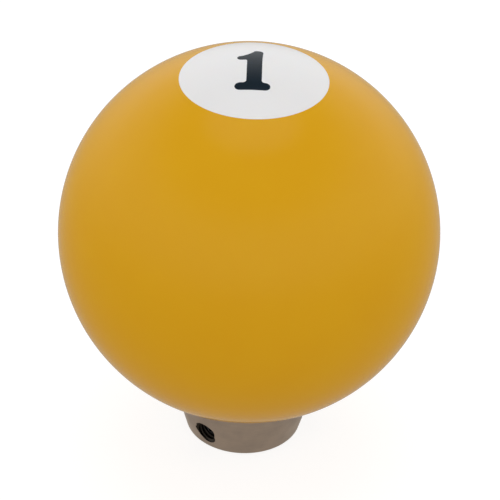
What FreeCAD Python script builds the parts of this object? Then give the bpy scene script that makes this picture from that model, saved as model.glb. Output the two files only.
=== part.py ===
"""A gear-lever knob made from a solid-resin pool ball, number 1.

A ball with an inlaid number stands on a tapered metal collar. The collar's hollow spigot screws into a
brass insert bonded in the ball. A threaded bush, which screws on the lever, turns inside the collar and
is held by three grub screws whose points sit in its groove.

Millimetres. +Z is up, along the knob's axis. The origin is on that axis, at the collar's bottom face.
The number reads upright when it is looked at from -Y.
"""

import FreeCAD
import Part
import math
import os

# Ball and its number
ball_diameter = 57.15
disc_diameter = 21.6           # across the white disc's edge
disc_depth = 3.5               # from the disc's edge down to its floor
disc_web = 2.5                 # white resin left under the numeral

# Numeral outline, seen from above
numeral_height = 11.0
stem_width = 2.2
serif_width = 5.1
serif_thickness = 1.65
serif_offset = -0.2            # the serif's middle, right of the stem's
serif_fillet = 0.5
flag_reach = 2.55              # from the stem's middle to the flag's tip
flag_drop = 3.3                # from the numeral's top to the flag's under side
flag_thickness = 1.35
crown_width = 1.05             # top of the numeral, between the flag and the right corner
crown_overhang = 0.13          # how far the right corner stands out from the stem

# Lever bush
lever_thread = 8.0             # coarse metric thread, modelled at its minor diameter
lever_pitch = 1.25
bush_wall = 1.95
bush_length = 17.0
bush_recess = 0.5              # how far the bush sits inside the collar's mouth
bush_clearance = 0.05          # radial, running fit in the collar
bush_end_play = 0.2
bush_edge = 0.4
groove_depth = 0.95
groove_side_play = 0.15        # each side of a screw's point, on the groove's flat floor

# Collar
collar_height = 9.5
base_wall = 3.0                # between the bush's bore and the collar's bottom edge
base_edge = 0.3
mouth_edge = 0.4
spigot_wall = 2.0
spigot_length = 14.0
spigot_lead = 1.0
undercut_width = 1.6           # thread run-out beside the seat
undercut_depth = 0.95
lever_room = 0.5               # radial room for the lever above the bush

# Insert and its bore in the ball
thread_play = 0.05             # radial, between the spigot and the insert
insert_wall = 1.95
insert_length = 15.0
insert_lead = 0.6
knurl_teeth = 48
knurl_depth = 0.45
knurl_neck = 2.4               # plain band between the two knurled ones
knurl_neck_depth = 0.75
bond_gap = 0.1                 # radial, filled with adhesive
bore_end_room = 1.0
seat_land = 1.4                # flat ring around the insert's bore, which the collar seats on
relief_depth = 5.0             # blind hole beyond the insert, for the lever's end
drill_point_angle = 118.0

# Grub screws
screw_count = 3
first_screw_angle = 234.0      # anticlockwise from +X
screw_height = 3.1             # above the collar's bottom face
screw_thread = 4.0
screw_length = 3.0
screw_play = 0.03              # radial
screw_point = 2.0              # diameter of the cup point
screw_cup_depth = 0.45
screw_end_edge = 0.35
socket_across_flats = 2.0
socket_depth = 1.4
point_gap = 0.05               # between the point and the groove's floor

THREAD_DEPTH = 1.0825          # minor diameter = nominal diameter - 1.0825 x pitch

ball_radius = ball_diameter / 2
disc_radius = disc_diameter / 2
bush_radius = lever_thread / 2 + bush_wall
bore_radius = bush_radius + bush_clearance
base_radius = bore_radius + base_wall
spigot_radius = bore_radius + spigot_wall
insert_bore_radius = spigot_radius + thread_play
insert_radius = insert_bore_radius + insert_wall
socket_radius = insert_radius + bond_gap
seat_radius = socket_radius + seat_land
lever_hole_radius = lever_thread / 2 + lever_room
groove_radius = bush_radius - groove_depth
ball_centre = collar_height + math.sqrt(ball_radius**2 - seat_radius**2)
insert_top = collar_height + insert_length
shoulder = bush_recess + bush_length + bush_end_play

Z = FreeCAD.Vector(0, 0, 1)
ORIGIN = FreeCAD.Vector(0, 0, 0)


def turned(profile):
    """Solid of revolution about Z from (radius, height) points."""
    points = [FreeCAD.Vector(r, 0, z) for r, z in profile]
    face = Part.Face(Part.makePolygon(points + points[:1]))
    return face.revolve(ORIGIN, Z, 360)


def rod(radius, low, high):
    """Upright cylinder on the axis between two heights."""
    return Part.makeCylinder(radius, high - low, FreeCAD.Vector(0, 0, low))


def around_axis(shape, count, first_angle):
    """Copies of a shape turned about Z, evenly spaced."""
    copies = []
    for i in range(count):
        copy = shape.copy()
        copy.rotate(ORIGIN, Z, first_angle + i * 360 / count)
        copies.append(copy)
    return copies


def ball_sphere():
    return Part.makeSphere(ball_radius, FreeCAD.Vector(0, 0, ball_centre))


def make_disc_blank():
    """The white disc before the numeral is cut: a plug whose top is part of the ball's surface."""
    rim = ball_centre + math.sqrt(ball_radius**2 - disc_radius**2)
    return rod(disc_radius, rim - disc_depth, ball_centre + 2 * ball_radius).common(ball_sphere())


def numeral_outline():
    """Figure one with a round-tipped flag and a round-ended serif, in the XY plane."""
    top = numeral_height / 2
    stem = stem_width / 2
    end = serif_thickness / 2
    serif_top = -top + serif_thickness
    left_foot = serif_offset - serif_width / 2 + end
    right_foot = serif_offset + serif_width / 2 - end
    flag_low = top - flag_drop
    tip = flag_thickness / 2
    tip_x = -flag_reach + tip
    crotch = serif_fillet / 2
    crotch_left = -stem - crotch
    corner = crown_width / 4
    right = stem + crown_overhang
    corner_low = (right, top - 3 * corner)
    corner_high = (right - corner, top - corner)
    crown_left = (right - corner - crown_width, top - corner / 2)

    def at(x, y):
        return FreeCAD.Vector(x, y, 0)

    def line(a, b):
        return Part.makeLine(at(*a), at(*b))

    def arc(a, middle, b):
        return Part.Arc(at(*a), at(*middle), at(*b)).toShape()

    def quarter(a, b, centre):
        """Quarter circle from a to b about centre."""
        radius = math.dist(a, centre)
        x = (a[0] + b[0]) / 2 - centre[0]
        y = (a[1] + b[1]) / 2 - centre[1]
        reach = radius / math.hypot(x, y)
        return arc(a, (centre[0] + x * reach, centre[1] + y * reach), b)

    return Part.Wire([
        line((left_foot, -top), (right_foot, -top)),
        arc((right_foot, -top), (right_foot + end, -top + end), (right_foot, serif_top)),
        line((right_foot, serif_top), (stem + serif_fillet, serif_top)),
        quarter((stem + serif_fillet, serif_top), (stem, serif_top + serif_fillet),
                (stem + serif_fillet, serif_top + serif_fillet)),
        line((stem, serif_top + serif_fillet), (stem, flag_low)),
        line((stem, flag_low), corner_low),
        arc(corner_low, (right - corner / 3, top - 2 * corner), corner_high),
        arc(corner_high, (right - corner - crown_width / 2, top), crown_left),
        arc(crown_left, (-stem * 0.8, flag_low + 1.5 * flag_thickness), (tip_x, flag_low + flag_thickness)),
        arc((tip_x, flag_low + flag_thickness), (tip_x - tip, flag_low + tip), (tip_x, flag_low)),
        line((tip_x, flag_low), (crotch_left, flag_low)),
        quarter((crotch_left, flag_low), (-stem, flag_low - crotch), (crotch_left, flag_low - crotch)),
        line((-stem, flag_low - crotch), (-stem, serif_top + serif_fillet)),
        quarter((-stem, serif_top + serif_fillet), (-stem - serif_fillet, serif_top),
                (-stem - serif_fillet, serif_top + serif_fillet)),
        line((-stem - serif_fillet, serif_top), (left_foot, serif_top)),
        arc((left_foot, serif_top), (left_foot - end, -top + end), (left_foot, -top)),
    ])


def make_numeral():
    rim = ball_centre + math.sqrt(ball_radius**2 - disc_radius**2)
    floor = rim - disc_depth + disc_web
    prism = Part.Face(numeral_outline()).extrude(FreeCAD.Vector(0, 0, ball_radius))
    prism.translate(FreeCAD.Vector(0, 0, floor))
    return prism.common(ball_sphere())


def make_ball():
    """Resin ball: pocket for the disc on top, flat seat, insert bore and lever relief below."""
    insert_end = insert_top + bore_end_room
    relief_end = insert_end + relief_depth
    cone = lever_hole_radius / math.tan(math.radians(drill_point_angle / 2))
    hole = turned([
        (0, -ball_radius),
        (ball_radius, -ball_radius),
        (ball_radius, collar_height),
        (socket_radius, collar_height),
        (socket_radius, insert_end),
        (lever_hole_radius, insert_end),
        (lever_hole_radius, relief_end),
        (0, relief_end + cone),
    ])
    return ball_sphere().cut(hole).cut(make_disc_blank())


def make_insert():
    """Brass insert: two bands of straight knurl, a plain neck between them and chamfered lead-ins."""
    crest = insert_radius
    root = insert_radius - knurl_depth
    star = []
    for i in range(2 * knurl_teeth):
        radius = crest if i % 2 == 0 else root
        angle = math.pi * i / knurl_teeth
        star.append(FreeCAD.Vector(radius * math.cos(angle), radius * math.sin(angle), 0))
    knurled = Part.Face(Part.makePolygon(star + star[:1])).extrude(FreeCAD.Vector(0, 0, insert_length))
    knurled.translate(FreeCAD.Vector(0, 0, collar_height))
    neck_low = collar_height + (insert_length - knurl_neck) / 2
    neck_high = neck_low + knurl_neck
    envelope = turned([
        (insert_bore_radius + insert_lead, collar_height),
        (crest - insert_lead, collar_height),
        (crest, collar_height + insert_lead),
        (crest, neck_low),
        (crest - knurl_neck_depth, neck_low),
        (crest - knurl_neck_depth, neck_high),
        (crest, neck_high),
        (crest, insert_top - insert_lead),
        (crest - insert_lead, insert_top),
        (insert_bore_radius, insert_top),
        (insert_bore_radius, collar_height + insert_lead),
    ])
    return knurled.common(envelope)


def make_screw_hole():
    """One cross hole, along +X from the bore out through the collar's wall."""
    radius = screw_thread / 2 + screw_play
    return Part.makeCylinder(radius, seat_radius + screw_thread - bore_radius / 2,
                             FreeCAD.Vector(bore_radius / 2, 0, screw_height), FreeCAD.Vector(1, 0, 0))


def make_collar():
    """Turned collar: taper, flat seat, thread run-out, hollow spigot, bush bore and cross holes."""
    spigot_top = collar_height + spigot_length
    undercut_radius = spigot_radius - undercut_depth
    body = turned([
        (bore_radius + mouth_edge, 0),
        (base_radius - base_edge, 0),
        (base_radius, base_edge),
        (seat_radius, collar_height),
        (undercut_radius, collar_height),
        (undercut_radius, collar_height + undercut_width),
        (spigot_radius, collar_height + undercut_width + undercut_depth),
        (spigot_radius, spigot_top - spigot_lead),
        (spigot_radius - spigot_lead, spigot_top),
        (lever_hole_radius, spigot_top),
        (lever_hole_radius, shoulder),
        (bore_radius, shoulder),
        (bore_radius, mouth_edge),
    ])
    for hole in around_axis(make_screw_hole(), screw_count, first_screw_angle):
        body = body.cut(hole)
    return body


def make_bush():
    """Threaded bush with a groove for the grub screws' points. The groove's flanks are at 45 degrees."""
    tapped = (lever_thread - THREAD_DEPTH * lever_pitch) / 2
    thread_edge = lever_thread / 2 + bush_edge / 2 - tapped
    low = bush_recess
    high = bush_recess + bush_length
    floor = screw_point / 2 + groove_side_play
    return turned([
        (tapped + thread_edge, low),
        (bush_radius - bush_edge, low),
        (bush_radius, low + bush_edge),
        (bush_radius, screw_height - floor - groove_depth),
        (groove_radius, screw_height - floor),
        (groove_radius, screw_height + floor),
        (bush_radius, screw_height + floor + groove_depth),
        (bush_radius, high - bush_edge),
        (bush_radius - bush_edge, high),
        (tapped + thread_edge, high),
        (tapped, high - thread_edge),
        (tapped, low + thread_edge),
    ])


def make_screw():
    """Socket-head grub screw with a cup point, tightened against the groove, along +X."""
    radius = screw_thread / 2
    point = screw_point / 2
    tip = groove_radius + point_gap
    end = tip + screw_length
    screw = turned([
        (0, tip + screw_cup_depth),
        (point, tip),
        (radius, tip + radius - point),
        (radius, end - screw_end_edge),
        (radius - screw_end_edge, end),
        (0, end),
    ])
    corner = socket_across_flats / math.sqrt(3)
    hexagon = []
    for i in range(6):
        angle = math.pi * i / 3
        hexagon.append(FreeCAD.Vector(corner * math.cos(angle), corner * math.sin(angle), 0))
    socket = Part.Face(Part.makePolygon(hexagon + hexagon[:1])).extrude(
        FreeCAD.Vector(0, 0, socket_depth))
    socket.translate(FreeCAD.Vector(0, 0, end - socket_depth))
    screw = screw.cut(socket)
    screw.rotate(ORIGIN, FreeCAD.Vector(0, 1, 0), 90)
    screw.translate(FreeCAD.Vector(0, 0, screw_height))
    return screw


parts = {
    "ball_body": make_ball(),
    "number_disc": make_disc_blank().cut(make_numeral()),
    "numeral_one": make_numeral(),
    "threaded_insert": make_insert(),
    "collar": make_collar(),
    "lever_bush": make_bush(),
}
for number, screw in enumerate(around_axis(make_screw(), screw_count, first_screw_angle), 1):
    parts[f"grub_screw_{number}"] = screw

os.makedirs("parts", exist_ok=True)
for name, shape in parts.items():
    solid = shape.removeSplitter()
    if not solid.isValid() or len(solid.Solids) != 1:
        raise ValueError(f"{name} is not one valid solid")
    solid.Solids[0].exportStep(f"parts/{name}.step")
    print(name, round(solid.Volume, 1), "mm3")
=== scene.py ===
"""Looks of a gear-lever knob made from a pool ball: cast-resin ball and number, turned metal collar,
brass insert and bush, and black grub screws. Meshes are shaped in millimetres and placed in metres."""

import math

import bmesh
import bpy
from mathutils import Matrix, Vector


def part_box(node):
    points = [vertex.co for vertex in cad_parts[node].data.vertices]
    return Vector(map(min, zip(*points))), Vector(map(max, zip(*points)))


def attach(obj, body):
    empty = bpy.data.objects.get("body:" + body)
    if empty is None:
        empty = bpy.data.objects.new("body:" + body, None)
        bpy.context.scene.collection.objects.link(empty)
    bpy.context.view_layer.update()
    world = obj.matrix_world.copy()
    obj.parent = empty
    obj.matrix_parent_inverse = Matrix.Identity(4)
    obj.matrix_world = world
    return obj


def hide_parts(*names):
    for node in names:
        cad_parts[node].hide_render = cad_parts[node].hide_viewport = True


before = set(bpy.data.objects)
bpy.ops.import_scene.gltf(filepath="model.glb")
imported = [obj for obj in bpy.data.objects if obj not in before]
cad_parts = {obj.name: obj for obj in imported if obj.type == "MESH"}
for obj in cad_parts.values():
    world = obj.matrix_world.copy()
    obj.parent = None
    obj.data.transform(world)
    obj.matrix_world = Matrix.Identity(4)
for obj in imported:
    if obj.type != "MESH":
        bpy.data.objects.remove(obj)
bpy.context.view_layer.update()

# ----------------------------------------------------------------------------------------------------
# Ball. Phenolic resin, cast as a sphere and polished to a mirror. The top is pocketed for the number
# disc, and the foot is faced flat and bored for the brass insert.
# ----------------------------------------------------------------------------------------------------

MM = 0.001
ROUND_STEPS = 192


def box_mm(node):
    """Lowest and highest corners of a CAD node, in millimetres."""
    return [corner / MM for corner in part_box(node)]


def turned(profile, steps=ROUND_STEPS, closed=False):
    """Spins a profile of (radius, height) points about Z. An open one starts and ends on the axis."""
    bm = bmesh.new()
    points = [bm.verts.new((radius, 0, height)) for radius, height in profile]
    ends = points[1:] + points[:1] if closed else points[1:]
    edges = [bm.edges.new(pair) for pair in zip(points, ends)]
    bmesh.ops.spin(bm, geom=points + edges, axis=(0, 0, 1), angle=math.tau, steps=steps, use_merge=True)
    bmesh.ops.remove_doubles(bm, verts=bm.verts, dist=0.0005)
    bmesh.ops.recalc_face_normals(bm, faces=bm.faces)
    return bm


def arc(centre, radius, start, end, steps):
    """Points of an arc in the profile's plane. Angles are in degrees from the radius direction."""
    angles = [math.radians(start + (end - start) * i / steps) for i in range(steps + 1)]
    return [(centre[0] + radius * math.cos(a), centre[1] + radius * math.sin(a)) for a in angles]


def placed(bm, name, material, body, node):
    """Makes the bmesh a shown piece, in metres, that rides a body and stands for a CAD node."""
    many_sided = [face for face in bm.faces if len(face.verts) > 4]
    bmesh.ops.triangulate(bm, faces=many_sided)
    bmesh.ops.scale(bm, vec=(MM, MM, MM), verts=bm.verts)
    mesh = bpy.data.meshes.new(name)
    bm.to_mesh(mesh)
    bm.free()
    mesh.materials.append(material)
    mesh.shade_smooth()
    mesh.set_sharp_from_angle(angle=math.radians(28))
    piece = bpy.data.objects.new(name, mesh)
    bpy.context.scene.collection.objects.link(piece)
    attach(piece, body)
    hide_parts(node)
    return piece


def polished_round(piece):
    """Gives corners on the ball's surface the sphere's own direction, so that no facet shows in it."""
    mesh = piece.data
    centre = Vector((0, 0, ball_centre * MM))
    directions = [Vector()] * len(mesh.loops)
    for face in mesh.polygons:
        for corner in face.loop_indices:
            spoke = mesh.vertices[mesh.loops[corner].vertex_index].co - centre
            on_surface = abs(spoke.length - ball_radius * MM) < 0.002 * MM
            if on_surface and face.normal.dot(spoke.normalized()) > 0.9:
                directions[corner] = spoke.normalized()
    mesh.normals_split_custom_set(directions)


def linear(hex_colour):
    """Linear RGBA of an sRGB hex colour."""
    channels = [int(hex_colour[i:i + 2], 16) / 255 for i in (1, 3, 5)]
    return [c / 12.92 if c <= 0.04045 else ((c + 0.055) / 1.055) ** 2.4 for c in channels] + [1]


def add(tree, kind, inputs=None, links=None, **settings):
    """Adds a shader node with its settings, input values and incoming links."""
    made = tree.nodes.new(kind)
    for setting, value in settings.items():
        setattr(made, setting, value)
    for socket, value in (inputs or {}).items():
        made.inputs[socket].default_value = value
    for socket, source in (links or {}).items():
        tree.links.new(source, made.inputs[socket])
    return made


def new_material(name):
    """A named material with its node tree and its shader."""
    material = bpy.data.materials.new(name)
    material.use_nodes = True
    return material, material.node_tree, material.node_tree.nodes["Principled BSDF"]


def polished_resin(name, colour, cloud_colour):
    """Cast phenolic resin: glass-like gloss over one even colour that clouds a little, as the casting
    sets, with the faint waves and hairline haze that a polishing wheel leaves."""
    material, tree, shader = new_material(name)
    place = add(tree, "ShaderNodeTexCoord").outputs["Object"]
    clouds = add(tree, "ShaderNodeTexNoise", {"Scale": 1 / (9 * MM), "Detail": 3, "Roughness": 0.55},
                 {"Vector": place})
    tone = add(tree, "ShaderNodeMix", {6: linear(colour), 7: linear(cloud_colour)},
               {0: clouds.outputs["Fac"]}, data_type="RGBA")
    tree.links.new(tone.outputs[2], shader.inputs["Base Color"])
    haze = add(tree, "ShaderNodeTexNoise", {"Scale": 1 / (1.6 * MM), "Detail": 5, "Roughness": 0.7},
               {"Vector": place})
    gloss = add(tree, "ShaderNodeMapRange",
                {"From Min": 0.3, "From Max": 0.7, "To Min": 0.06, "To Max": 0.14},
                {"Value": haze.outputs["Fac"]})
    tree.links.new(gloss.outputs["Result"], shader.inputs["Roughness"])
    waves = add(tree, "ShaderNodeTexNoise", {"Scale": 1 / (3.5 * MM), "Detail": 1}, {"Vector": place})
    bump = add(tree, "ShaderNodeBump", {"Strength": 0.25, "Distance": 0.004 * MM},
               {"Height": waves.outputs["Fac"]})
    tree.links.new(bump.outputs["Normal"], shader.inputs["Normal"])
    shader.inputs["Specular IOR Level"].default_value = 0.1
    shader.inputs["Subsurface Weight"].default_value = 0.08
    shader.inputs["Subsurface Radius"].default_value = (1.0, 0.6, 0.3)
    shader.inputs["Subsurface Scale"].default_value = 0.8 * MM
    return material


bond_gap = 0.1
bore_end_room = 1
relief_radius = 4.5
relief_depth = 5
drill_point = math.radians(118)

ball_low, ball_high = box_mm("ball_body")
disc_low, disc_high = box_mm("number_disc")
insert_low, insert_high = box_mm("threaded_insert")
ball_radius = (ball_high.y - ball_low.y) / 2
ball_centre = disc_high.z - ball_radius
disc_radius = disc_high.x
disc_floor = disc_low.z
disc_rim = ball_centre + math.sqrt(ball_radius ** 2 - disc_radius ** 2)
seat_height = ball_low.z
seat_radius = math.sqrt(ball_radius ** 2 - (ball_centre - seat_height) ** 2)
socket_radius = insert_high.x + bond_gap
socket_end = insert_high.z + bore_end_room
relief_end = socket_end + relief_depth
drill_cone = relief_radius / math.tan(drill_point / 2)

rim_angle = math.degrees(math.asin((disc_rim - ball_centre) / ball_radius))
seat_angle = math.degrees(math.asin((seat_height - ball_centre) / ball_radius))
ball_profile = [(0, disc_floor), (disc_radius, disc_floor)]
ball_profile += arc((0, ball_centre), ball_radius, rim_angle, seat_angle, steps=110)
ball_profile += [
    (socket_radius, seat_height),
    (socket_radius, socket_end),
    (relief_radius, socket_end),
    (relief_radius, relief_end),
    (0, relief_end + drill_cone),
]
# Phenolic resin keeps a deep, even yellow under its gloss, as the dye goes right through the casting.
yellow_resin = polished_resin("yellow phenolic resin, polished", "#E1A91B", "#DEA318")
ball = placed(turned(ball_profile), "ball", yellow_resin, "knob", "ball_body")
polished_round(ball)

# ----------------------------------------------------------------------------------------------------
# Number disc. A plug of white phenolic resin, cast into the ball's pocket and turned and polished with
# it, so its face is part of the sphere and its joint is a fine line. The numeral is sunk into it.
# ----------------------------------------------------------------------------------------------------

numeral_low = box_mm("numeral_one")[0]
prism_height = 10


def combined(bm, other, operation):
    """The exact Boolean of two closed bmeshes, which it uses up."""
    objects = []
    for source in (bm, other):
        mesh = bpy.data.meshes.new("work")
        source.to_mesh(mesh)
        source.free()
        objects.append(bpy.data.objects.new("work", mesh))
        bpy.context.scene.collection.objects.link(objects[-1])
    modifier = objects[0].modifiers.new("combine", "BOOLEAN")
    modifier.object = objects[1]
    modifier.operation = operation
    modifier.solver = "EXACT"
    result = bmesh.new()
    result.from_object(objects[0], bpy.context.evaluated_depsgraph_get())
    for work in objects:
        bpy.data.objects.remove(work)
    bmesh.ops.remove_doubles(result, verts=result.verts, dist=0.0002)
    bmesh.ops.dissolve_degenerate(result, edges=result.edges, dist=0.0001)
    return result


def disc_plug():
    """The white plug, whose top is part of the ball's surface."""
    profile = [(0, disc_floor), (disc_radius, disc_floor)]
    profile += arc((0, ball_centre), ball_radius, rim_angle, 90, steps=36)
    return turned(profile)


def numeral_prism():
    """The figure one as an upright prism through the disc's face. Each corner has its place and how far
    from it the rounding starts. The corners between the stem and the flag are the crown's."""
    stem = 1.1
    serif_left = numeral_low.x
    serif_right = 2.35
    serif_low = numeral_low.y
    serif_top = -3.85
    serif_round = 0.82
    fillet = 0.5
    flag_left = -2.55
    flag_low = 2.2
    flag_top = 3.55
    flag_round = 0.67
    crotch = 0.25
    corners = [
        ((serif_left, serif_low), serif_round),
        ((serif_right, serif_low), serif_round),
        ((serif_right, serif_top), serif_round),
        ((stem, serif_top), fillet),
        ((stem, flag_low), 0),
        ((1.22, 5.01), 0.3),
        ((0.5, 5.75), 0.69),
        ((-0.08, 5.37), 0),
        ((-0.63, 4.12), 1.36),
        ((-1.87, flag_top), 0),
        ((flag_left, flag_top), flag_round),
        ((flag_left, flag_low), flag_round),
        ((-stem, flag_low), crotch),
        ((-stem, serif_top), fillet),
        ((serif_left, serif_top), serif_round),
    ]
    bm = bmesh.new()
    points = [bm.verts.new((x, y, numeral_low.z)) for (x, y), _ in corners]
    bm.faces.new(points)
    for point, (_, rounding) in zip(points, corners):
        if rounding:
            bmesh.ops.bevel(bm, geom=[point], offset=rounding, affect="VERTICES", segments=10,
                            profile=0.5, material=-1)
    walls = bmesh.ops.extrude_face_region(bm, geom=bm.faces[:])["geom"]
    top = [part for part in walls if isinstance(part, bmesh.types.BMVert)]
    bmesh.ops.translate(bm, verts=top, vec=(0, 0, prism_height))
    bmesh.ops.recalc_face_normals(bm, faces=bm.faces)
    return bm


# White resin is heavily filled, so it looks opaque and even rather than glassy.
white_resin = polished_resin("white phenolic resin, polished", "#EFEEEE", "#ECEBEB")
disc_shape = combined(disc_plug(), numeral_prism(), "DIFFERENCE")
disc = placed(disc_shape, "disc", white_resin, "knob", "number_disc")
polished_round(disc)

# ----------------------------------------------------------------------------------------------------
# Numeral. Black phenolic resin, cast into its sunk outline in the white disc and polished flush with it,
# so no step is felt or seen at its edge.
# ----------------------------------------------------------------------------------------------------

# Black resin is faintly blue, and its gloss greys it wherever it mirrors the light.
black_resin = polished_resin("black phenolic resin, polished", "#0A1A25", "#0F202B")
numeral_shape = combined(disc_plug(), numeral_prism(), "INTERSECT")
numeral = placed(numeral_shape, "numeral", black_resin, "knob", "numeral_one")
polished_round(numeral)

# ----------------------------------------------------------------------------------------------------
# Collar. Mild steel, turned to a taper on a lathe and nickel plated satin. A hollow threaded spigot above
# its flat seat screws into the ball's insert, and three M4 holes cross its wall for the grub screws.
# ----------------------------------------------------------------------------------------------------

# A 60-degree metric thread: the slope of its flanks and then, as shares of its pitch, how deep a screw's
# groove and a nut's are, half the width of the groove's floor, and the cutter's overrun past the crest.
THREAD_SLOPE = math.tan(math.radians(30))
SCREW_DEPTH = 0.613
NUT_DEPTH = 0.5413
GROOVE_FLOOR = 0.1
CREST_OVERRUN = 0.05

base_radius = 9.0
base_edge = 0.35
mouth_edge = 0.4
seat_edge = 0.08
seat_inset = 0.02
relief_edge = 0.15
spigot_radius = 8.0
spigot_pitch = 1.5
spigot_lead = 1
spigot_thread_start = seat_height + 1.2
undercut_depth = 0.95
undercut_width = 1.6
running_gap = 0.05
bush_end_play = 0.2
screw_height = 3.1
screw_angles = [234, 354, 114]
screw_radius = 2.0
screw_pitch = 0.7
screw_thread_start = 4.2
tapped_play = 0.03
tapping_radius = 1.64
tap_inner_radius = 1.6
mouth_chamfer_in = 0.25
mouth_chamfer_out = 0.14
drill_inner = 4
drill_outer = 12

collar_top = box_mm("collar")[1].z
bush_low, bush_high = box_mm("lever_bush")
bush_bore = bush_high.x + running_gap
bore_end = bush_high.z + bush_end_play
hole_radius = screw_radius + tapped_play


def thread_groove(bottom, mouth, pitch, start, turns, steps):
    """A thread's helical groove as a solid to cut away: narrow at radius bottom, open at radius mouth."""
    narrow = GROOVE_FLOOR * pitch
    wide = narrow + abs(mouth - bottom) * THREAD_SLOPE
    bm = bmesh.new()
    points = [bm.verts.new((radius, 0, start + offset)) for radius, offset in
              ((bottom, -narrow), (bottom, narrow), (mouth, wide), (mouth, -wide))]
    tooth = bm.faces.new(points)
    bmesh.ops.spin(bm, geom=[tooth], axis=(0, 0, 1), dvec=(0, 0, pitch / steps), angle=math.tau * turns,
                   steps=steps * turns)
    bmesh.ops.recalc_face_normals(bm, faces=bm.faces)
    return bm


def outer_thread(radius, pitch, start, turns, steps):
    """The groove of a thread that is cut or rolled on a rod of that radius."""
    crest = radius + CREST_OVERRUN * pitch
    return thread_groove(radius - SCREW_DEPTH * pitch, crest, pitch, start, turns, steps)


def inner_thread(root, bore, pitch, start, turns, steps):
    """The groove of a thread that is tapped in a bore, out to radius root."""
    return thread_groove(root, bore - CREST_OVERRUN * pitch, pitch, start, turns, steps)


def across(bm, angle):
    """Lays a bmesh that was made along Z along one of the collar's cross holes."""
    turn = Matrix.Rotation(math.radians(angle), 4, "Z") @ Matrix.Rotation(math.radians(90), 4, "Y")
    bm.transform(Matrix.Translation((0, 0, screw_height)) @ turn)
    return bm


def gathered(parts):
    """Several bmeshes that stand apart, as one."""
    whole = bmesh.new()
    for part in parts:
        mesh = bpy.data.meshes.new("work")
        part.to_mesh(mesh)
        part.free()
        whole.from_mesh(mesh)
        bpy.data.meshes.remove(mesh)
    return whole


taper = math.atan2(seat_radius - base_radius, seat_height)
taper_angle = 360 - math.degrees(taper)
collar_profile = arc((bush_bore + mouth_edge, mouth_edge), mouth_edge, 180, 270, steps=6)
collar_profile += arc((base_radius - base_edge, base_edge), base_edge, 270, taper_angle, steps=8)
collar_profile += [
    (seat_radius - seat_inset, seat_height - seat_edge),
    (seat_radius - seat_edge, seat_height),
    (spigot_radius - undercut_depth, seat_height),
    (spigot_radius - undercut_depth, seat_height + undercut_width),
    (spigot_radius, seat_height + undercut_width + undercut_depth),
    (spigot_radius, collar_top - spigot_lead),
    (spigot_radius - spigot_lead, collar_top),
    (relief_radius + relief_edge, collar_top),
    (relief_radius, collar_top - relief_edge),
    (relief_radius, bore_end),
    (bush_bore, bore_end),
]
mouth_radius = base_radius + screw_height * math.tan(taper)
drills = []
threads = [outer_thread(spigot_radius, spigot_pitch, spigot_thread_start, turns=10, steps=72)]
for angle in screw_angles:
    drill = turned([
        (0, drill_inner),
        (tapping_radius, drill_inner),
        (tapping_radius, mouth_radius - mouth_chamfer_in),
        (hole_radius, mouth_radius + mouth_chamfer_out),
        (hole_radius, drill_outer),
        (0, drill_outer),
    ], steps=64)
    drills.append(across(drill, angle))
    thread = thread_groove(hole_radius, tap_inner_radius, screw_pitch, screw_thread_start,
                           turns=10, steps=48)
    threads.append(across(thread, angle))
collar_shape = turned(collar_profile, closed=True)
collar_shape = combined(collar_shape, gathered(drills), "DIFFERENCE")
collar_shape = combined(collar_shape, gathered(threads), "DIFFERENCE")
# The walls of the cross holes take the collar's second material, whose dark colour is painted shade.
for angle in screw_angles:
    axis = Vector((math.cos(math.radians(angle)), math.sin(math.radians(angle)), 0))
    for face in collar_shape.faces:
        spot = face.calc_center_median() - Vector((0, 0, screw_height))
        along = spot.dot(axis)
        aside = (spot - axis * along).length
        in_wall = along > bush_bore and aside < hole_radius + 0.01
        if in_wall and face.normal.dot(axis) < 0.93:
            face.material_index = 1


def turned_metal(name, colour, stain_colour, roughness, line_spacing, line_depth, anisotropy):
    """Metal from the lathe: fine rings around the axis that stretch its highlights, in uneven strength,
    with small stains in the finish. Line spacing and depth are in millimetres."""
    material, tree, shader = new_material(name)
    place = add(tree, "ShaderNodeTexCoord").outputs["Object"]
    rings_at = add(tree, "ShaderNodeMapping", {"Scale": (0.02, 0.02, 1)}, {"Vector": place})
    rings = add(tree, "ShaderNodeTexNoise",
                {"Scale": 1 / (line_spacing * MM), "Detail": 4, "Roughness": 0.65},
                {"Vector": rings_at.outputs["Vector"]})
    stains = add(tree, "ShaderNodeTexNoise", {"Scale": 1 / (2.5 * MM), "Detail": 4}, {"Vector": place})
    tone = add(tree, "ShaderNodeMapRange",
               {"From Min": 0.3, "From Max": 0.7, "To Min": 0.9, "To Max": 1.0},
               {"Value": rings.outputs["Fac"]})
    stained = add(tree, "ShaderNodeMix", {6: linear(colour), 7: linear(stain_colour)},
                  {0: stains.outputs["Fac"]}, data_type="RGBA")
    shade = add(tree, "ShaderNodeMix", {0: 1}, {6: stained.outputs[2], 7: tone.outputs["Result"]},
                data_type="RGBA", blend_type="MULTIPLY")
    tree.links.new(shade.outputs[2], shader.inputs["Base Color"])
    satin = add(tree, "ShaderNodeMapRange",
                {"From Min": 0.3, "From Max": 0.7, "To Min": roughness - 0.06, "To Max": roughness + 0.08},
                {"Value": stains.outputs["Fac"]})
    tree.links.new(satin.outputs["Result"], shader.inputs["Roughness"])
    bump = add(tree, "ShaderNodeBump", {"Strength": 0.5, "Distance": line_depth * MM},
               {"Height": rings.outputs["Fac"]})
    tree.links.new(bump.outputs["Normal"], shader.inputs["Normal"])
    shader.inputs["Metallic"].default_value = 1
    shader.inputs["Anisotropic"].default_value = anisotropy
    return material


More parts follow.
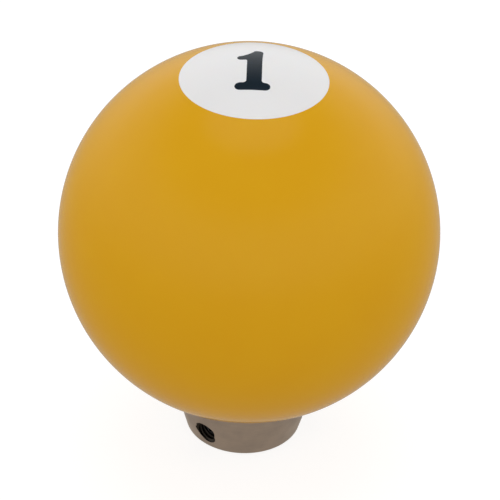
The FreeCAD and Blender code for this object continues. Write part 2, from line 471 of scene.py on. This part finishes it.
# Satin nickel is a warm, soft grey: its fine lathe rings spread the light into broad bands.
nickel = turned_metal("satin nickel plate over turned steel", "#C0B0A2", "#A59A92", roughness=0.36,
                      line_spacing=0.12, line_depth=0.004, anisotropy=0.3)
collar = placed(collar_shape, "taper_collar", nickel, "knob", "collar")
# The holes are tapped after plating, so their walls are bare steel. Their dark brownish colour is painted
# shade inside the holes.
hole_steel_painted_shade = turned_metal("tapped steel, painted dark as shade", "#453F39", "#2A2622", roughness=0.34,
                            line_spacing=0.2, line_depth=0.004, anisotropy=0)
collar.data.materials.append(hole_steel_painted_shade)

# ----------------------------------------------------------------------------------------------------
# Insert. Free-cutting brass, tapped M16 x 1.5 and straight knurled in two bands, which the adhesive in
# the ball's bore grips. It is hidden once the collar is screwed in.
# ----------------------------------------------------------------------------------------------------

knurl_teeth = 48
knurl_depth = 0.45
knurl_neck = 2.4
knurl_neck_depth = 0.75
insert_edge = 0.6
insert_thread_play = 0.05
insert_radius = insert_high.x
insert_bore = spigot_radius - NUT_DEPTH * spigot_pitch + insert_thread_play
neck_low = (insert_low.z + insert_high.z - knurl_neck) / 2
neck_high = neck_low + knurl_neck
neck_radius = insert_radius - knurl_neck_depth
low_lead = spigot_radius + 0.6
high_lead = spigot_radius + 0.3
insert_profile = [
    (low_lead, insert_low.z),
    (insert_radius - insert_edge, insert_low.z),
    (insert_radius, insert_low.z + insert_edge),
    (insert_radius, neck_low),
    (neck_radius, neck_low),
    (neck_radius, neck_high),
    (insert_radius, neck_high),
    (insert_radius, insert_high.z - insert_edge),
    (insert_radius - insert_edge, insert_high.z),
    (high_lead, insert_high.z),
    (insert_bore, insert_high.z - high_lead + insert_bore),
    (insert_bore, insert_low.z + low_lead - insert_bore),
]
insert_shape = turned(insert_profile, steps=2 * knurl_teeth, closed=True)
# Every second line of the knurled bands is pressed in, which leaves the teeth between.
for point in insert_shape.verts:
    tooth = round(math.atan2(point.co.y, point.co.x) / math.tau * 2 * knurl_teeth)
    if tooth % 2 and point.co.xy.length > insert_radius - knurl_depth:
        point.co.xy = point.co.xy.normalized() * (insert_radius - knurl_depth)
# Half a pitch off the spigot's thread, so that each one's ridges stand in the other's groove.
insert_thread = inner_thread(spigot_radius + insert_thread_play, insert_bore, spigot_pitch,
                             spigot_thread_start - 2.5 * spigot_pitch, turns=14, steps=72)
insert_shape = combined(insert_shape, insert_thread, "DIFFERENCE")
# Brass is a soft yellow, a little browner where it is stained.
insert_brass = turned_metal("free-cutting brass, knurled", "#CEA85E", "#BF9850", roughness=0.3,
                            line_spacing=0.2, line_depth=0.005, anisotropy=0.2)
placed(insert_shape, "knurled_insert", insert_brass, "knob", "threaded_insert")

# ----------------------------------------------------------------------------------------------------
# Bush. Turned brass, tapped M8 x 1.25 for the lever. It turns in the collar's bore until the grub screws
# are tightened into the groove near its mouth.
# ----------------------------------------------------------------------------------------------------

lever_radius = 4.0
lever_pitch = 1.25
lever_lead = 0.2
bush_edge = 0.4
groove_depth = 0.95
groove_floor = 1.15
groove_mouth = groove_floor + groove_depth
bush_radius = bush_high.x
groove_radius = bush_radius - groove_depth
tapped_radius = lever_radius - NUT_DEPTH * lever_pitch
lead_radius = lever_radius + lever_lead
bush_profile = [
    (lead_radius, bush_low.z),
    (bush_radius - bush_edge, bush_low.z),
    (bush_radius, bush_low.z + bush_edge),
    (bush_radius, screw_height - groove_mouth),
    (groove_radius, screw_height - groove_floor),
    (groove_radius, screw_height + groove_floor),
    (bush_radius, screw_height + groove_mouth),
    (bush_radius, bush_high.z - bush_edge),
    (bush_radius - bush_edge, bush_high.z),
    (lead_radius, bush_high.z),
    (tapped_radius, bush_high.z - lead_radius + tapped_radius),
    (tapped_radius, bush_low.z + lead_radius - tapped_radius),
]
bush_thread = inner_thread(lever_radius, tapped_radius, lever_pitch, bush_low.z - lever_pitch,
                           turns=15, steps=72)
bush_shape = combined(turned(bush_profile, closed=True), bush_thread, "DIFFERENCE")
# The bush is fresh from the lathe, so its brass is smoother and brighter than the insert's.
bush_brass = turned_metal("free-cutting brass, turned", "#D4AE68", "#C49D58", roughness=0.26,
                          line_spacing=0.15, line_depth=0.004, anisotropy=0.3)
placed(bush_shape, "threaded_bush", bush_brass, "lever_bush", "lever_bush")

# ----------------------------------------------------------------------------------------------------
# Grub screws. M4 x 3 alloy-steel screws with a cup point and a 2 mm hexagon socket. Their threads are
# rolled, and they are hardened and black oxided. Each is screwed in from the collar's side.
# ----------------------------------------------------------------------------------------------------

screw_length = 3.0
screw_edge = 0.35
crest_play = 0.02
point_radius = 1.0
point_flank = 0.98
cup_radius = 0.8
cup_depth = 0.45
point_gap = 0.05
socket_flats = 2.0
socket_depth = 1.4
lead_depth = 0.2
lead_overrun = 0.1
screw_tip = groove_radius + point_gap
screw_end = screw_tip + screw_length
crest_radius = screw_radius - crest_play
socket_corner = socket_flats / math.sqrt(3)


def black_oxide(name):
    """Magnetite skin on hardened steel: near-black and oily, with a brown-grey bloom where it's thin."""
    material, tree, shader = new_material(name)
    place = add(tree, "ShaderNodeTexCoord").outputs["Object"]
    bloom = add(tree, "ShaderNodeTexNoise", {"Scale": 1 / (0.8 * MM), "Detail": 5, "Roughness": 0.6},
                {"Vector": place})
    tone = add(tree, "ShaderNodeMix", {6: linear("#17171A"), 7: linear("#2B2826")},
               {0: bloom.outputs["Fac"]}, data_type="RGBA")
    tree.links.new(tone.outputs[2], shader.inputs["Base Color"])
    satin = add(tree, "ShaderNodeMapRange", {"To Min": 0.28, "To Max": 0.5},
                {"Value": bloom.outputs["Fac"]})
    tree.links.new(satin.outputs["Result"], shader.inputs["Roughness"])
    grain = add(tree, "ShaderNodeTexNoise", {"Scale": 1 / (0.12 * MM), "Detail": 2}, {"Vector": place})
    bump = add(tree, "ShaderNodeBump", {"Strength": 0.3, "Distance": 0.004 * MM},
               {"Height": grain.outputs["Fac"]})
    tree.links.new(bump.outputs["Normal"], shader.inputs["Normal"])
    shader.inputs["Metallic"].default_value = 0.85
    return material


screw_black = black_oxide("black-oxide alloy steel")
for number, angle in enumerate(screw_angles, 1):
    blank = turned([
        (0, screw_tip + cup_depth),
        (cup_radius, screw_tip),
        (point_radius, screw_tip),
        (crest_radius, screw_tip + point_flank),
        (crest_radius, screw_end - screw_edge),
        (crest_radius - screw_edge, screw_end),
        (0, screw_end),
    ], steps=64)
    # Half a pitch off the tapped hole's thread, as in the insert.
    rolled = outer_thread(screw_radius, screw_pitch, screw_thread_start + 0.5 * screw_pitch,
                          turns=7, steps=48)
    socket = bmesh.new()
    bmesh.ops.create_cone(socket, segments=6, cap_ends=True, radius1=socket_corner,
                          radius2=socket_corner, depth=2 * socket_depth,
                          matrix=Matrix.Translation((0, 0, screw_end)))
    lead = turned([
        (0, screw_end - lead_depth),
        (socket_flats / 2, screw_end - lead_depth),
        (socket_flats / 2 + lead_depth + lead_overrun, screw_end + lead_overrun),
        (0, screw_end + lead_overrun),
    ], steps=48)
    screw_shape = combined(blank, rolled, "DIFFERENCE")
    screw_shape = combined(screw_shape, socket, "DIFFERENCE")
    screw_shape = combined(screw_shape, lead, "DIFFERENCE")
    name = f"grub_screw_{number}"
    placed(across(screw_shape, angle), f"set_{name}", screw_black, name, name)

# ----------------------------------------------------------------------------------------------------
# Set. A white table in a white light tent, a little warm from below. The tent is brightest round its
# sides, with one soft lamp above and behind, and the camera has a long lens.
# ----------------------------------------------------------------------------------------------------

floor_reach = 8
lens_mm = 164.7
camera_distance = 12 * ball_radius
camera_plan = math.radians(270.2)
camera_rise = math.radians(34.3)
camera_roll = math.radians(1.9)
aim = Vector((0.22, 0, ball_centre - 3.23))

floor_shape = bmesh.new()
bmesh.ops.create_grid(floor_shape, x_segments=1, y_segments=1, size=floor_reach)
floor_mesh = bpy.data.meshes.new("table")
floor_shape.to_mesh(floor_mesh)
floor_shape.free()
table = bpy.data.objects.new("table", floor_mesh)
bpy.context.scene.collection.objects.link(table)
# Opal acrylic lit from below: an even white that all but drowns a shadow. It is kept out of reflections,
# bounced light and shadows, so that it doesn't tint the resin.
acrylic, _, acrylic_shader = new_material("white acrylic sheet, lit from below")
acrylic_shader.inputs["Base Color"].default_value = linear("#A0A0A0")
acrylic_shader.inputs["Roughness"].default_value = 0.9
acrylic_shader.inputs["Specular IOR Level"].default_value = 0
acrylic_shader.inputs["Emission Color"].default_value = linear("#FFFFFF")
acrylic_shader.inputs["Emission Strength"].default_value = 0.78
floor_mesh.materials.append(acrylic)
table.visible_diffuse = False
table.visible_glossy = False
table.visible_shadow = False

tent = bpy.data.worlds.new("light tent")
tent.use_nodes = True
bpy.context.scene.world = tent
sky = tent.node_tree
direction = add(sky, "ShaderNodeTexCoord").outputs["Generated"]
height = add(sky, "ShaderNodeSeparateXYZ", links={"Vector": direction}).outputs["Z"]
sides = add(sky, "ShaderNodeMapRange",
            {"From Min": -0.3, "From Max": 0.3, "To Min": 0.5, "To Max": 1.24},
            {"Value": height}, interpolation_type="SMOOTHSTEP")
roof = add(sky, "ShaderNodeMapRange",
           {"From Min": 0.45, "From Max": 0.85, "To Min": 0, "To Max": -0.92},
           {"Value": height}, interpolation_type="SMOOTHSTEP")
softbox_at = add(sky, "ShaderNodeVectorMath", {1: (0, 0.24, 0.97)}, {0: direction},
                 operation="DOT_PRODUCT")
softbox = add(sky, "ShaderNodeMapRange",
              {"From Min": 0.88, "From Max": 0.97, "To Min": 0, "To Max": 1.5},
              {"Value": softbox_at.outputs["Value"]}, interpolation_type="SMOOTHSTEP")
tent_light = add(sky, "ShaderNodeMath", links={0: sides.outputs["Result"], 1: roof.outputs["Result"]})
all_light = add(sky, "ShaderNodeMath", links={0: tent_light.outputs[0], 1: softbox.outputs["Result"]})
background = sky.nodes["Background"]
sky.links.new(all_light.outputs[0], background.inputs["Strength"])
from_below = add(sky, "ShaderNodeMapRange", {"From Min": 0.1, "From Max": -0.5}, {"Value": height})
tint = add(sky, "ShaderNodeMix", {6: linear("#FFFFFF"), 7: linear("#FFF3E4")},
           {0: from_below.outputs["Result"]}, data_type="RGBA")
sky.links.new(tint.outputs[2], background.inputs["Color"])
bpy.context.scene.view_settings.view_transform = "Standard"

camera_data = bpy.data.cameras.new("camera")
camera_data.sensor_width = 36
camera_data.lens = lens_mm
camera = bpy.data.objects.new("camera", camera_data)
bpy.context.scene.collection.objects.link(camera)
bpy.context.scene.camera = camera
level = math.cos(camera_rise)
outward = Vector((math.cos(camera_plan) * level, math.sin(camera_plan) * level, math.sin(camera_rise)))
middle = Vector((0, 0, ball_centre))
camera.location = (middle + outward * camera_distance) * MM
facing = (aim * MM - camera.location).to_track_quat("-Z", "Y")
camera.rotation_mode = "QUATERNION"
camera.rotation_quaternion = facing @ Matrix.Rotation(camera_roll, 3, "Z").to_quaternion()
camera_data.clip_start = 0.01
camera_data.clip_end = 10
